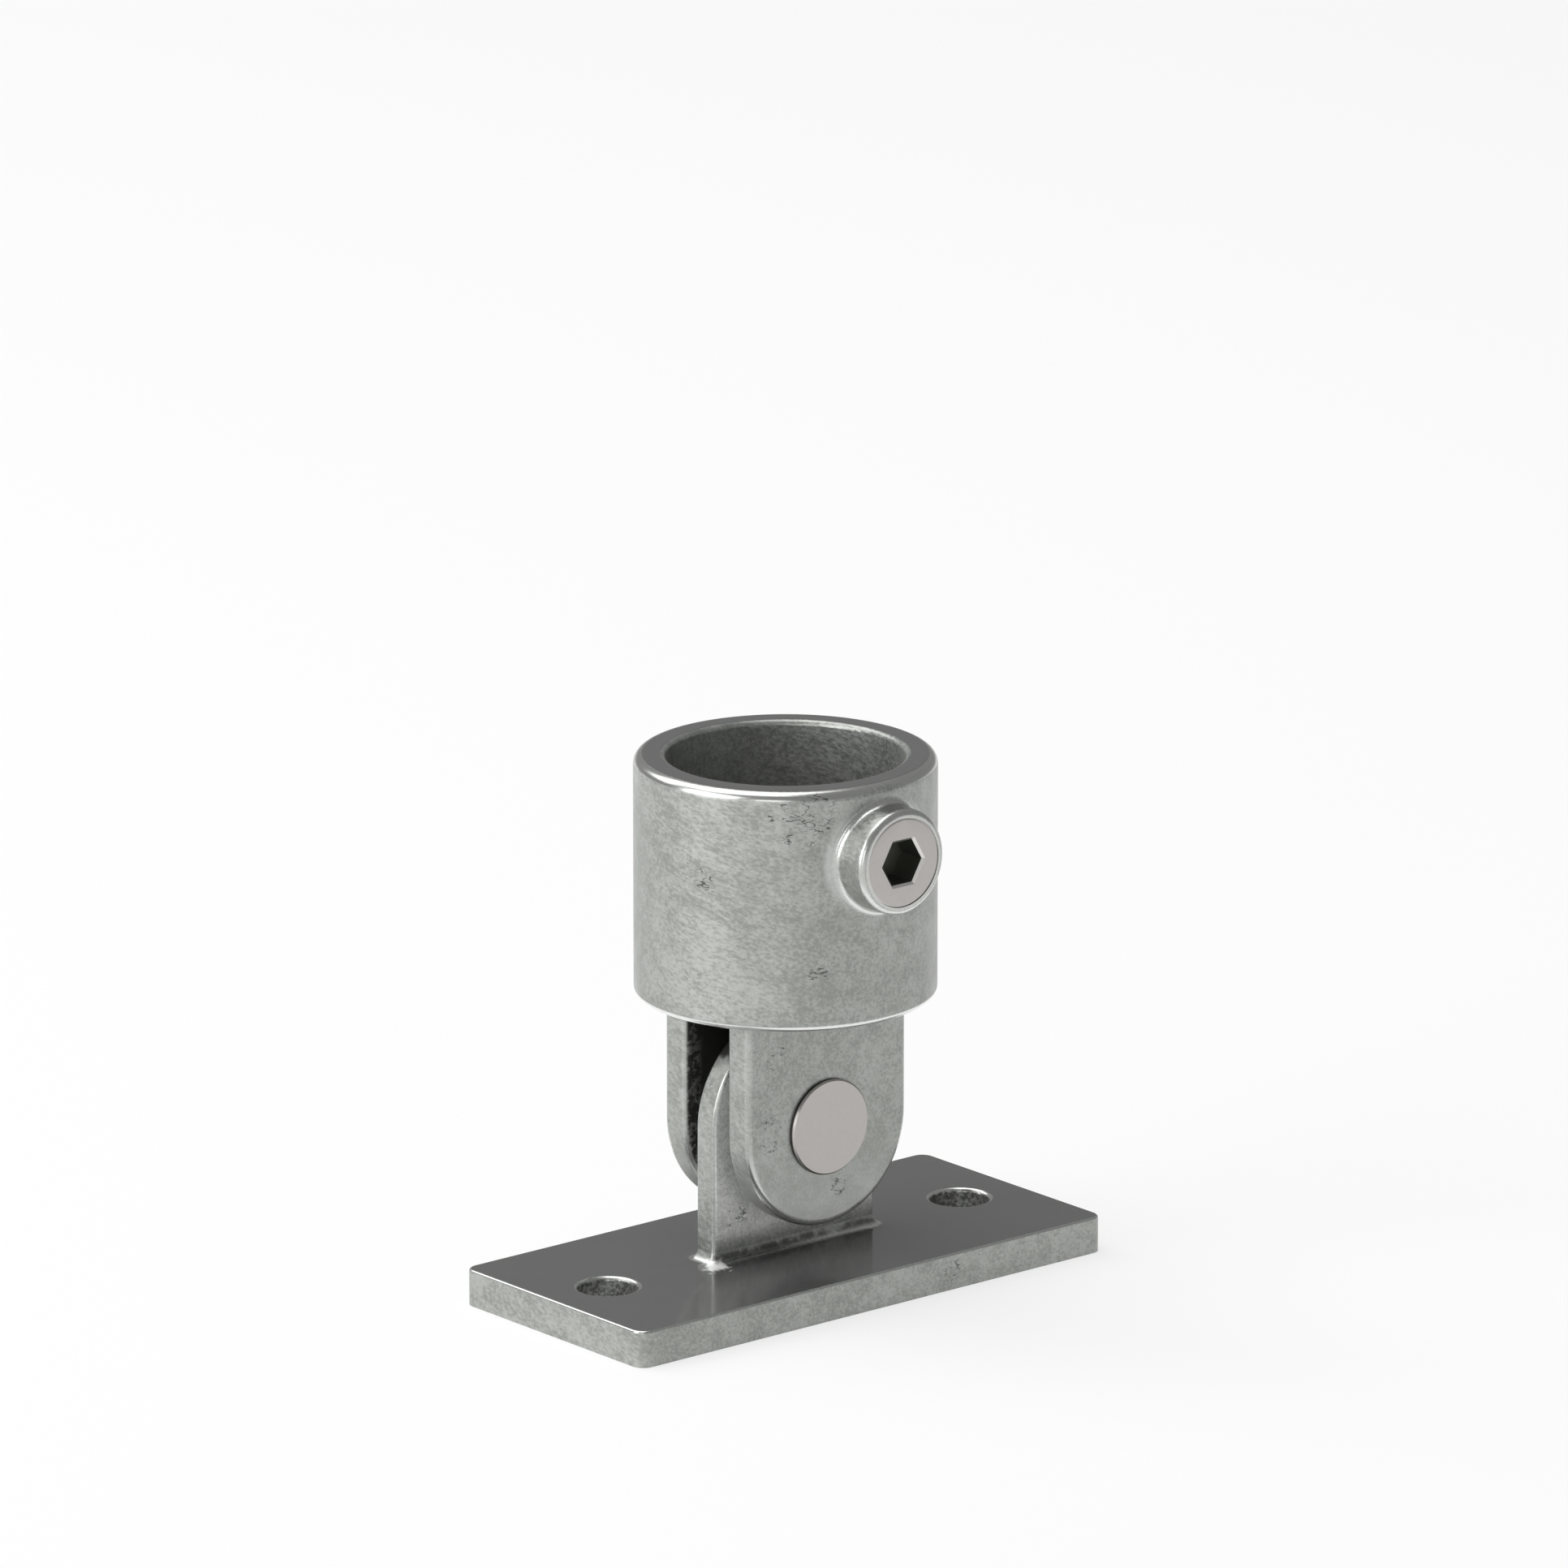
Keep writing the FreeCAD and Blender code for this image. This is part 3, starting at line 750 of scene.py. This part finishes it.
def socket_edges(tree, where, looks):
    """The socket's two rims, the outline of the ears, and the boss's rim, root and mouth."""
    above = ramp(tree, where["Z"], SOCKET_UNDERSIDE - HALF_MM, SOCKET_UNDERSIDE)
    outer = ramp(tree, from_axis(tree, where["X"], where["Y"]), SOCKET_INNER - HALF_MM, SOCKET_INNER)
    boss_gap = from_axis(tree, where["X"], where["Z"], 0.0, BOSS_HEIGHT)
    boss_zone = times(tree, ramp(tree, where["Y"], *BOSS_FRONT), ramp(tree, boss_gap, *BOSS_REACH))
    rims = times(tree, turning(tree, looks["Z"]), above, outer, opposite(tree, boss_zone))
    ear_arc = ramp(tree, where["Z"], *EAR_ARC)
    ears = times(tree, turning(tree, looks["Y"]), opposite(tree, above), ear_arc)
    boss = times(tree, turning(tree, looks["Y"]), boss_zone, ramp(tree, boss_gap, *BOSS_RIM))
    boss = times(tree, boss, ramp(tree, boss_gap, *BOSS_FOOT), BOSS_SHARE)
    mouth = times(tree, ramp(tree, where["Y"], *MOUTH_FRONT), ramp(tree, boss_gap, *MOUTH_REACH))
    return highest(tree, rims, ears, boss, mouth)


EDGES = {"base_flange": flange_edges, "swivel_socket": socket_edges}
print("edge masks for", sorted(EDGES))


# %% [markdown]
# ## Painted shade and dark specks
#
# Between the ears the skin is painted dark as shade and made rough, on the far ear's inner face and on
# the socket's underside above the slot. The top of the tongue, which stands deep in the slot, gets the
# same painted shade, and the walls of the bolt holes get dark specks.

# %% Dark slot and holes
SLOT_FRONT = -0.0053
SLOT_BACK = 0.0061
SLOT_SOFT = 0.0002
EAR_HALF = 0.01895
SPECKLE_DEPTH = (0.0185, 0.0145)
SLOT_NOISE = (800.0, 2.0, 0.7)
SLOT_SPECKLES = (0.40, 0.56, 0.65, 1.0)
HOLE_PLACE = 0.0422
HOLE_RADIUS = 0.0055
HOLE_NOISE = (1100.0, 2.0, 0.7)
HOLE_SPECKLES = (0.40, 0.60, 0.1, 0.75)
CREST = (0.0464, 0.0475)
CREST_RAGGED = 0.0038


def in_the_slot(tree, place, where):
    """Painted shade: 1 on the far ear's inner face and under the socket, speckled near the ear's edge.
    """
    inside = band(tree, where["Y"], SLOT_FRONT, SLOT_BACK, SLOT_SOFT)
    below = ramp(tree, where["Z"], SOCKET_UNDERSIDE + 2 * HALF_MM, SOCKET_UNDERSIDE)
    across = unsigned(tree, where["X"])
    between = ramp(tree, across, EAR_HALF + HALF_MM, EAR_HALF)
    deep = ramp(tree, across, *SPECKLE_DEPTH)
    speckle = ramp(tree, noise(tree, place, *SLOT_NOISE), *SLOT_SPECKLES)
    return times(tree, inside, below, between, highest(tree, deep, speckle))


def crest_and_holes(tree, place, where):
    """Painted shade on the top of the tongue, with a ragged lower end, and dark specks in the bolt
    holes.
    """
    ragged = times(tree, noise(tree, place, *SHADE_NOISE), CREST_RAGGED)
    crest = ramp(tree, plus(tree, where["Z"], ragged), *CREST)
    gap = from_axis(tree, unsigned(tree, where["X"]), where["Y"], HOLE_PLACE)
    in_hole = ramp(tree, gap, HOLE_RADIUS + HALF_MM / 2, HOLE_RADIUS)
    speckle = ramp(tree, noise(tree, place, *HOLE_NOISE), *HOLE_SPECKLES)
    return highest(tree, crest, times(tree, in_hole, speckle))


SHADE_AND_SPECKS = {"base_flange": crest_and_holes, "swivel_socket": in_the_slot}
print("dull places for", sorted(SHADE_AND_SPECKS))


# %% [markdown]
# ## The galvanised finish
#
# A finish is kept as three things: its colour, its roughness and its share of metal.
# It is built up in layers, as paint is. Each layer has a share from 0 to 1 that says where it
# lies, and it covers there what is under it. At the end the three are linked to the shader,
# with a bump that gives the surface its relief.

# %% Layers of a finish
SHADER_INPUTS = {"colour": "Base Color", "rough": "Roughness", "metal": "Metallic"}


def lay_over(tree, finish, share, **layer):
    """Blends a layer's colour, roughness or metal over a finish where the share is 1."""
    for part, given in layer.items():
        blend = blend_colour if part == "colour" else blend_number
        finish[part] = blend(tree, share, finish[part], given)


def write_finish(tree, shader, finish, relief, strength, depth):
    """Gives a finish and its relief to the shader."""
    for part, name in SHADER_INPUTS.items():
        fill_socket(tree, shader, name, finish[part])
    bump = add_node(tree, "ShaderNodeBump", Strength=strength, Distance=depth, Height=relief)
    fill_socket(tree, shader, "Normal", bump.outputs[0])


print("a finish has", sorted(SHADER_INPUTS))


# %% [markdown]
# Two places differ from the plain skin. The two flat faces of the tongue get a lighter colour and less
# metal as painted light, because the ears keep the lamps' light off them. The ears get lighter towards
# their lower ends.

# %% Tongue and ears
ZINC_DARK = (0.285, 0.295, 0.276, 1.0)
ZINC_LIGHT = (0.455, 0.465, 0.445, 1.0)
TONGUE_PAINTED_LIGHT_LOW = (0.60, 0.61, 0.59, 1.0)
TONGUE_PAINTED_LIGHT_HIGH = (0.88, 0.89, 0.87, 1.0)
EDGE_HIGHLIGHT_COLOUR = (0.56, 0.57, 0.55, 1.0)
SKIN_RANGE = (0.38, 0.62)
SIDE_METAL = 0.72
TONGUE_METAL = 0.45
TONGUE_LIT_FACE_METAL = 0.2
TONGUE_STARTS = (0.009, 0.013)
TONGUE_LIT_FACE_FACING = (0.7, 0.98)
EAR_LIGHTER = (PIN_HEIGHT, PIN_HEIGHT / 2, 0.0, 0.3)


def tongue_metal_and_painted_light(tree, finish, skin, where, looks):
    """Less metal on the whole tongue, and painted light on its two flat faces: a lighter colour with
    less metal.
    """
    tongue = ramp(tree, where["Z"], *TONGUE_STARTS)
    lit_faces = times(tree, tongue, ramp(tree, unsigned(tree, looks["Y"]), *TONGUE_LIT_FACE_FACING))
    pale = blend_colour(tree, ramp(tree, skin, *SKIN_RANGE), TONGUE_PAINTED_LIGHT_LOW, TONGUE_PAINTED_LIGHT_HIGH)
    lay_over(tree, finish, tongue, metal=TONGUE_METAL)
    # Painted light: the tongue's flat faces get a lighter colour, standing in for light that the ears
    # keep off.
    lay_over(tree, finish, lit_faces, colour=pale, metal=TONGUE_LIT_FACE_METAL)


def lighten_ears(tree, finish, where):
    """A lighter colour from the pin down."""
    lay_over(tree, finish, ramp(tree, where["Z"], *EAR_LIGHTER), colour=EDGE_HIGHLIGHT_COLOUR)


print("the tongue's finish starts", TONGUE_STARTS[1] * 1000, "mm up")


# %% [markdown]
# Now the layers come together. Only the bright edges are metal all through: on the faces a share
# of ordinary shading lets the lamps' own light show, which makes them matt.
# The level faces are smooth, and their colour is darkened as painted shade, like a dull mirror. The
# edges that face down get a whiter painted highlight still. Flux marks, painted shade at the foot, a
# painted highlight at its corner, and painted shade and dark specks in the slot, on the crest and in the
# holes lie on top.

# %% The finish of a casting
# The flux marks' dark colour, also used for the painted shade at the foot.
MARK_AND_SHADE_COLOUR = (0.05, 0.05, 0.045, 1.0)
LEVEL_PAINTED_SHADE = (0.168, 0.168, 0.168, 1.0)
DOWNWARD_HIGHLIGHT_COLOUR = (0.88, 0.89, 0.87, 1.0)
FOOT_HIGHLIGHT_COLOUR = (0.93, 0.93, 0.92, 1.0)
SHADE_AND_SPECK_COLOUR = (0.03, 0.03, 0.028, 1.0)
LEVEL_METAL = 0.6
FOOT_HIGHLIGHT_METAL = 0.2
LEVEL_ROUGHNESS = 0.13
EDGE_ROUGHNESS = 0.24
DULL_ROUGHNESS = 0.6
GRAIN_ROUGHNESS = (0.3, 0.7, 0.30, 0.44)
EDGE_HIGHLIGHT_BREAKUP = (0.2, 0.5, 0.7, 1.0)
LEVEL_FACING = (0.93, 0.99)
DOWNWARD_EDGE_FACING = (-0.1, -0.4)
LEVEL_SHADE_SHARE = 0.92
MARK_SHARE = 0.8
FOOT_SHADE_SHARE = 0.75
FACE_RELIEF = 0.22
SMOOTH_RELIEF = 0.02
RELIEF_DEPTH = 0.0002


def make_zinc(name):
    """The whole finish of one casting."""
    material, tree, shader = new_material("zinc_" + name)
    place, normal = surface(tree)
    where, looks = parts_of(tree, place), parts_of(tree, normal)
    skin, grain = zinc_skin(tree, place)
    level = ramp(tree, looks["Z"], *LEVEL_FACING)
    # The edge mask marks where the painted highlight goes, broken up by the grain.
    edge = times(tree, EDGES[name](tree, where, looks), ramp(tree, grain, *EDGE_HIGHLIGHT_BREAKUP))
    downward_highlight = times(tree, edge, ramp(tree, looks["Z"], *DOWNWARD_EDGE_FACING))
    mark = flux_marks(tree, place, MARKS[name])

    finish = {
        "colour": blend_colour(tree, ramp(tree, skin, *SKIN_RANGE), ZINC_DARK, ZINC_LIGHT),
        "rough": ramp(tree, grain, *GRAIN_ROUGHNESS),
        "metal": SIDE_METAL,
    }
    if name == "base_flange":
        tongue_metal_and_painted_light(tree, finish, skin, where, looks)
    else:
        lighten_ears(tree, finish, where)
    # Painted shade: the level faces get a darker colour.
    lay_over(tree, finish, times(tree, level, LEVEL_SHADE_SHARE), colour=LEVEL_PAINTED_SHADE)
    lay_over(tree, finish, level, rough=LEVEL_ROUGHNESS, metal=LEVEL_METAL)
    # Painted highlight: a lighter colour on the rounded edges, with full metal and more gloss.
    lay_over(tree, finish, edge, colour=EDGE_HIGHLIGHT_COLOUR, rough=EDGE_ROUGHNESS, metal=1.0)
    # Painted highlight: the edges that face down get a whiter colour still.
    lay_over(tree, finish, downward_highlight, colour=DOWNWARD_HIGHLIGHT_COLOUR)
    lay_over(tree, finish, times(tree, mark, MARK_SHARE), colour=MARK_AND_SHADE_COLOUR)
    if name == "base_flange":
        # Painted shade in the hollow of the sweep, in the flux marks' dark colour.
        sweep_shade = foot_shade(tree, place, where, looks)
        lay_over(tree, finish, times(tree, sweep_shade, FOOT_SHADE_SHARE), colour=MARK_AND_SHADE_COLOUR)
        # Painted highlight at one corner of the foot.
        corner_highlight = foot_highlight(tree, place)
        lay_over(tree, finish, corner_highlight, colour=FOOT_HIGHLIGHT_COLOUR, rough=EDGE_ROUGHNESS, metal=FOOT_HIGHLIGHT_METAL)
    # Painted shade in the slot and on the tongue's crest, and dark specks in the bolt holes.
    lay_over(tree, finish, SHADE_AND_SPECKS[name](tree, place, where), colour=SHADE_AND_SPECK_COLOUR, rough=DULL_ROUGHNESS)

    strength = blend_number(tree, highest(tree, level, edge), FACE_RELIEF, SMOOTH_RELIEF)
    write_finish(tree, shader, finish, skin, strength, RELIEF_DEPTH)
    return material


flange.data.materials.clear()
flange.data.materials.append(make_zinc("base_flange"))
nodes["swivel_socket"].material_slots[0].material = make_zinc("swivel_socket")
print("both castings are galvanised")


# %% [markdown]
# ## Pin and set screw
#
# The pin's ends and the set screw are turned steel with a thin satin plating, warmer and much more
# even than the cast zinc. A very fine noise breaks the gloss, so that they don't look like plastic.
# The screw's hexagon socket is painted dark inside as shade, because it is deep and narrow. Round the
# hexagon and the face, the rims carry a painted highlight. The pin's side is painted dark as shade where
# it goes into the ear.

# %% Painted shade and highlights on the steel
PIN_SIDE_SHADE = (0.07, 0.068, 0.065, 1.0)
SIDE_FACING = (0.9, 0.6)
PIN_GAP = (0.01265, 0.01240)
RIM_PAINTED_HIGHLIGHT = (0.72, 0.71, 0.69, 1.0)
RIM_BAND = (0.3, 0.95, 0.02)
KEY_PAINTED_SHADE = (0.18, 0.187, 0.163, 1.0)
KEY_ROUGHNESS = 0.5
KEY_REACH = 0.00495
KEY_MOUTH = -0.0327
KEY_SOFT = 0.0001


def pin_side(tree, finish, where, facing):
    """A dark ring of painted shade where the pin goes into the ear."""
    root = ramp(tree, unsigned(tree, where["Y"]), *PIN_GAP)
    side = ramp(tree, facing, *SIDE_FACING)
    # Painted shade: the pin's side darkens where it goes into the ear.
    lay_over(tree, finish, times(tree, side, root), colour=PIN_SIDE_SHADE)


def key_and_rims(tree, finish, where, facing):
    """Painted shade in the hexagon socket, and a painted highlight on the rims round it and round the
    face.
    """
    gap = from_axis(tree, where["X"], where["Z"], 0.0, BOSS_HEIGHT)
    inside = ramp(tree, gap, KEY_REACH, KEY_REACH - KEY_SOFT)
    behind = ramp(tree, where["Y"], KEY_MOUTH - KEY_SOFT, KEY_MOUTH + KEY_SOFT)
    dark = times(tree, inside, behind)
    rim = times(tree, band(tree, facing, *RIM_BAND), opposite(tree, dark))
    # Painted highlight on the rims.
    lay_over(tree, finish, rim, colour=RIM_PAINTED_HIGHLIGHT)
    # Painted shade inside the hexagon socket.
    lay_over(tree, finish, dark, colour=KEY_PAINTED_SHADE, rough=KEY_ROUGHNESS)


print("the hexagon is dark behind", KEY_MOUTH * 1000, "mm")


# %% [markdown]
# Both pieces share one plating. What differs is handed to it as a function, and the plating is
# metal all over, so that number is typed into the shader.

# %% Plated steel
PLATING_DARK = (0.464, 0.444, 0.428, 1.0)
PLATING_LIGHT = (0.482, 0.460, 0.443, 1.0)
PLATING_NOISE = (1100.0, 2.0, 0.5)
PLATING_RANGE = (0.35, 0.65)
PLATING_ROUGHNESS = (0.3, 0.7, 0.28, 0.32)
PLATING_RELIEF = 0.015
PLATING_DEPTH = 0.0001


def make_plated_steel(name, details):
    """Even satin plating with a very fine grain, and a piece's own details."""
    material, tree, shader = new_material(name)
    place, normal = surface(tree)
    where, looks = parts_of(tree, place), parts_of(tree, normal)
    grain = noise(tree, place, *PLATING_NOISE)
    finish = {
        "colour": blend_colour(tree, ramp(tree, grain, *PLATING_RANGE), PLATING_DARK, PLATING_LIGHT),
        "rough": ramp(tree, grain, *PLATING_ROUGHNESS),
        "metal": 1.0,
    }
    details(tree, finish, where, unsigned(tree, looks["Y"]))
    write_finish(tree, shader, finish, grain, PLATING_RELIEF, PLATING_DEPTH)
    return material


nodes["hinge_pin"].material_slots[0].material = make_plated_steel("plated_pin", pin_side)
screw.data.materials.clear()
screw.data.materials.append(make_plated_steel("plated_screw", key_and_rims))
print("pin and screw are plated")
